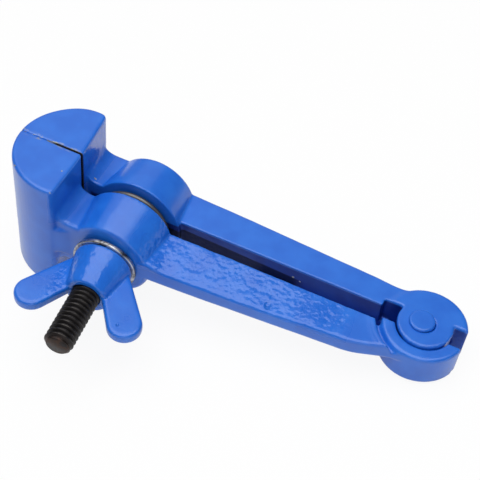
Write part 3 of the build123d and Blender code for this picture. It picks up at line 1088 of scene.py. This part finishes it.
@dataclass
class ThreadedScrew:
    """The cross bolt: the CAD piece's head and shank with a cut thread.

    Attributes:
        pitch: Distance between crests.
        crest: Radius at the crests.
        root: Radius at the roots.
        start: Where the thread starts, along the screw.
        tip: Where the screw ends.
        chamfer: How far back the tip is chamfered.
        chamfer_slope: How fast the chamfer brings the radius in.
        run_out: How many turns the thread takes to reach its full depth.
        steps: Steps of one turn.
        outline: One crest as shares of the pitch and of the thread's depth.
    """

    pitch: float = 25.4 / 18
    crest: float = 3.85
    root: float = 3.02
    start: float = -2.0
    tip: float = 29.4
    chamfer: float = 1.0
    chamfer_slope: float = 0.95
    run_out: float = 1.6
    steps: int = 72
    outline: tuple[Span, ...] = (
        (0.00, 0.0), (0.06, 0.03), (0.14, 0.22), (0.34, 0.82), (0.41, 0.96), (0.46, 1.0),
        (0.54, 1.0), (0.59, 0.96), (0.66, 0.82), (0.86, 0.22), (0.94, 0.03),
    )

    def build(self) -> bpy.types.Object:
        """Build the screw and return it."""
        shape = self.thread()
        head = node_copy("clamp_bolt", SCREW)
        self.trim(head, self.start, 1)
        mesh = bpy.data.meshes.new("work")
        head.to_mesh(mesh)
        head.free()
        shape.from_mesh(mesh)
        bpy.data.meshes.remove(mesh)
        piece = hand_over(shape, "cross_screw", SCREW, 38.0)
        finish = BlackOxide(crest_radius=self.crest, tip=self.tip)
        material = finish.material("screw_black")
        settle(piece, Body.SCREW, material, "clamp_bolt")
        return piece

    def thread(self) -> bmesh.types.BMesh:
        """Return the threaded end, its run-out and its tip."""
        shape = bmesh.new()
        turns = math.ceil((self.tip - self.start) / self.pitch) + 2
        first = self.start - self.pitch
        depth = self.crest - self.root
        line = [
            shape.verts.new((self.root + depth * up, 0, first + (turn + share) * self.pitch))
            for turn in range(turns)
            for share, up in self.outline
        ]
        for pair in zip(line, line[1:]):
            shape.edges.new(pair)
        spin(shape, self.steps, is_closed=False, rise=self.pitch / self.steps)
        bmesh.ops.remove_doubles(shape, verts=shape.verts, dist=0.01)
        self.trim(shape, self.start, -1)
        self.trim(shape, self.tip, 1)
        for vert in shape.verts:
            self.turn_down(vert)
        bmesh.ops.recalc_face_normals(shape, faces=shape.faces)
        return shape

    def trim(self, shape: bmesh.types.BMesh, height: float, side: int) -> None:
        """Cut a shape square, drop what lies beyond and close the cut.

        Args:
            shape: The shape.
            height: Where it is cut, along the screw.
            side: 1 to drop what is above the cut, or -1 for what is below.
        """
        cut = bmesh.ops.bisect_plane(
            shape,
            geom=shape.verts[:] + shape.edges[:] + shape.faces[:],
            dist=0.0001,
            plane_co=(0, 0, height),
            plane_no=(0, 0, side),
            clear_outer=True,
        )
        rim = [e for e in cut["geom_cut"] if isinstance(e, bmesh.types.BMEdge)]
        bmesh.ops.holes_fill(shape, edges=rim, sides=0)

    def turn_down(self, vert: bmesh.types.BMVert) -> None:
        """Bring a point in to the tip's chamfer, and out to the shank at the run-out."""
        radius = math.hypot(vert.co.x, vert.co.y)
        if radius < 0.5:
            return
        past = max(0.0, vert.co.z - (self.tip - self.chamfer))
        limit = self.crest - past * self.chamfer_slope
        fade = ramp(vert.co.z, self.start, self.start + self.run_out * self.pitch)
        wanted = min(limit, self.crest + (radius - self.crest) * fade)
        vert.co.x *= wanted / radius
        vert.co.y *= wanted / radius


@dataclass
class ThrustWasher:
    """The pressed washer, with its rolled edge.

    Attributes:
        outer: Radius of its rim.
        inner: Radius of its hole.
        base: Height of its underside.
        thick: Thickness.
        edge: Rounding of its edges.
        corner: The angle past which an edge is one of those, in radians.
        steps: Steps of one turn.
    """

    outer: float = 8.8
    inner: float = 4.3
    base: float = 0.25
    thick: float = 1.2
    edge: float = 0.35
    corner: float = 1.0
    steps: int = 120

    def build(self) -> bpy.types.Object:
        """Build the washer and return it."""
        shape = bmesh.new()
        corners = [
            shape.verts.new((radius, 0, height))
            for radius, height in (
                (self.inner, self.base),
                (self.outer, self.base),
                (self.outer, self.base + self.thick),
                (self.inner, self.base + self.thick),
            )
        ]
        for pair in zip(corners, corners[1:] + corners[:1]):
            shape.edges.new(pair)
        spin(shape, self.steps, is_closed=True)
        bmesh.ops.remove_doubles(shape, verts=shape.verts, dist=0.001)
        bmesh.ops.recalc_face_normals(shape, faces=shape.faces)
        rims = [e for e in shape.edges if e.calc_face_angle(0.0) > self.corner]
        bmesh.ops.bevel(
            shape,
            geom=rims,
            offset=self.edge,
            segments=4,
            profile=0.5,
            affect="EDGES",
            material=-1,
        )
        piece = hand_over(shape, "bright_washer", SCREW, 50.0)
        material = BrightSteel().material("washer_steel")
        settle(piece, Body.WASHER, material, "washer")
        return piece


@dataclass
class ConeSpring:
    """The cone of wire that opens the jaws.

    Attributes:
        near: Where it bears on the near boss.
        far: Where it bears on the far boss; not used.
        turned: How far it has worked round the screw, in degrees.
        wire: The colour of its wire, which has rubbed half bright.
    """

    near: Point = (82.9, 1.8, 0.0)
    far: Point = (82.9, -1.8, 0.0)
    turned: float = -130.0
    wire: Colour = shade(112, 109, 105)

    def build(self) -> bpy.types.Object:
        """Build the spring and return it."""
        shape = node_copy("opening_spring", TOOL)
        bmesh.ops.rotate(
            shape,
            cent=self.near,
            matrix=Matrix.Rotation(math.radians(self.turned), 3, "Y"),
            verts=shape.verts,
        )
        piece = hand_over(shape, "cone_spring", TOOL, 60.0)
        piece.data.materials.clear()
        finish = BlackOxide(colour=self.wire, rust=self.wire)
        piece.data.materials.append(finish.material("spring_black"))
        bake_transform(piece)
        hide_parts("opening_spring")
        LOG.info("%s: %d faces between the jaws", piece.name, len(piece.data.polygons))
        return piece


@dataclass(frozen=True)
class SoftBox:
    """A soft lamp that looks at the tool, with its measures in metres.

    Attributes:
        name: Its name.
        place: Where it hangs.
        wide: Its width.
        tall: Its height.
        power: Its power in watts.
    """

    name: str
    place: Point
    wide: float
    tall: float
    power: float

    def build(self) -> None:
        """Hang the lamp."""
        light = bpy.data.lights.new(self.name, "AREA")
        light.shape = "RECTANGLE"
        light.size = self.wide
        light.size_y = self.tall
        light.energy = self.power
        aim = Vector((0, 0, 0.015)) - Vector(self.place)
        turn = aim.to_track_quat("-Z", "Y").to_matrix().to_4x4()
        lamp = bare_object(self.name, light)
        lamp.matrix_world = Matrix.Translation(self.place) @ turn


@dataclass
class Studio:
    """A plain pale bench with soft light and the camera.

    Attributes:
        eye: Where the camera stands.
        aim: What it looks at.
        roll: How far it is turned about its own line of sight, in degrees.
        focal: Its focal length.
        sensor: The width of its sensor.
        lamps: The lamps.
        haze: Strength of the plain surrounding light.
        bench_size: Half the width of the bench, in metres.
        bench_shade: How much light the bench gives back.
        bench_seen: Share of plain white in the bench as the camera sees it.
        bench_mirrored: The same as it shows in shiny pieces.
    """

    eye: Point = (-95.858, 173.316, 249.392)
    aim: Point = (0.343, -20.335, 15.0)
    roll: float = 2.198
    focal: float = 89.22
    sensor: float = 36.0
    lamps: tuple[SoftBox, ...] = (
        SoftBox("soft_top", (0.00, 0.05, 0.70), 0.85, 0.85, 5.9),
        SoftBox("soft_back", (0.36, -0.56, 0.56), 0.90, 0.50, 0.8),
        SoftBox("soft_front", (-0.35, 0.80, 0.30), 0.50, 0.40, 0.9),
    )
    haze: float = 0.15
    bench_size: float = 3.0
    bench_shade: float = 0.9
    bench_seen: float = 0.92
    bench_mirrored: float = 0.62

    def build(self) -> None:
        """Build the whole set."""
        bpy.context.scene.view_settings.view_transform = "Standard"
        self.camera()
        self.floor()
        self.world()
        for lamp in self.lamps:
            lamp.build()

    def camera(self) -> None:
        """Add the camera."""
        lens = bpy.data.cameras.new("camera")
        lens.lens = self.focal
        lens.sensor_width = self.sensor
        made = bare_object("camera", lens)
        eye, aim = Vector(self.eye) * MM, Vector(self.aim) * MM
        look = (aim - eye).to_track_quat("-Z", "Y").to_matrix().to_4x4()
        turn = Matrix.Rotation(math.radians(-self.roll), 4, "Z")
        made.matrix_world = Matrix.Translation(eye) @ look @ turn
        lens.clip_start = 0.01
        bpy.context.scene.camera = made

    def floor(self) -> None:
        """Add the bench top, which shows white and keeps the tool's shadow."""
        shape = bmesh.new()
        bmesh.ops.create_grid(shape, x_segments=1, y_segments=1, size=self.bench_size)
        mesh = bpy.data.meshes.new("bench")
        shape.to_mesh(mesh)
        shape.free()
        tree = ShaderTree("bench_white")
        pale = (self.bench_shade, self.bench_shade, self.bench_shade, 1)
        diffuse = tree.node("ShaderNodeBsdfDiffuse", None, {"Color": pale})
        glow = tree.node("ShaderNodeEmission", None, {"Color": (1, 1, 1, 1), "Strength": 1.0})
        path = tree.node("ShaderNodeLightPath")
        seen = Sock(tree, path.outputs["Is Camera Ray"]) * self.bench_seen
        seen = seen + Sock(tree, path.outputs["Is Glossy Ray"]) * self.bench_mirrored
        both = tree.node("ShaderNodeMixShader", None, {0: seen})
        out = tree.node("ShaderNodeOutputMaterial")
        links = tree.material.node_tree.links
        links.new(diffuse.outputs[0], both.inputs[1])
        links.new(glow.outputs[0], both.inputs[2])
        links.new(both.outputs[0], out.inputs["Surface"])
        bench = bare_object("bench", mesh)
        mesh.materials.append(tree.material)

    def world(self) -> None:
        """Set a plain pale surrounding."""
        world = bpy.data.worlds.new("surroundings")
        world.use_nodes = True
        sky = world.node_tree.nodes["Background"].inputs
        sky["Color"].default_value = (1, 1, 1, 1)
        sky["Strength"].default_value = self.haze
        bpy.context.scene.world = world


def main() -> None:
    """Build the tool and its set."""
    logging.basicConfig(level=logging.INFO, format="%(name)s %(message)s")
    Studio().build()
    near_paint = Enamel(
        chips=((111.0, 11.9, 18.8, 0.5), (99.2, 7.8, 19.0, 0.3), (98.0, 15.7, 18.9, 0.5)),
        dimples=((38.2, 10.3, 3.4, 1.1), (38.0, 11.2, 3.3, 0.9)),
        has_jaw_face=True,
    )
    far_paint = Enamel(
        chips=(
            (-7.1, -4.6, 0.5, 0.55),
            # The next two chips, low on the far arm's inner wall, are painted highlights: bright
            # flecks that stand for glints.
            (36.6, -3.4, 0.4, 0.45),
            (34.6, -3.4, -0.2, 0.35),
            (96.0, -3.4, 6.9, 0.7),
        ),
        has_jaw_face=True,
    )
    nut_paint = Enamel(
        chips=((97.5, 36.2, 1.6, 0.35), (77.7, 25.2, -3.0, 0.4)),
        dimples=((69.4, 32.8, 1.6, 0.5),),
    )
    NearJaw("near_jaw", Body.FIXED_JAW, paint=near_paint).build()
    FarJaw("far_jaw", Body.MOVING_JAW, paint=far_paint).build()
    Casting("hinge_rivet", Body.FIXED_JAW, voxel=0.2, wave=0.02).build()
    WingNut(
        "wing_nut", Body.NUT, SCREW, voxel=0.25, passes=4, wave=0.03, paint=nut_paint
    ).build()
    ThreadedScrew().build()
    ThrustWasher().build()
    ConeSpring().build()


if __name__ == "__main__":
    main()
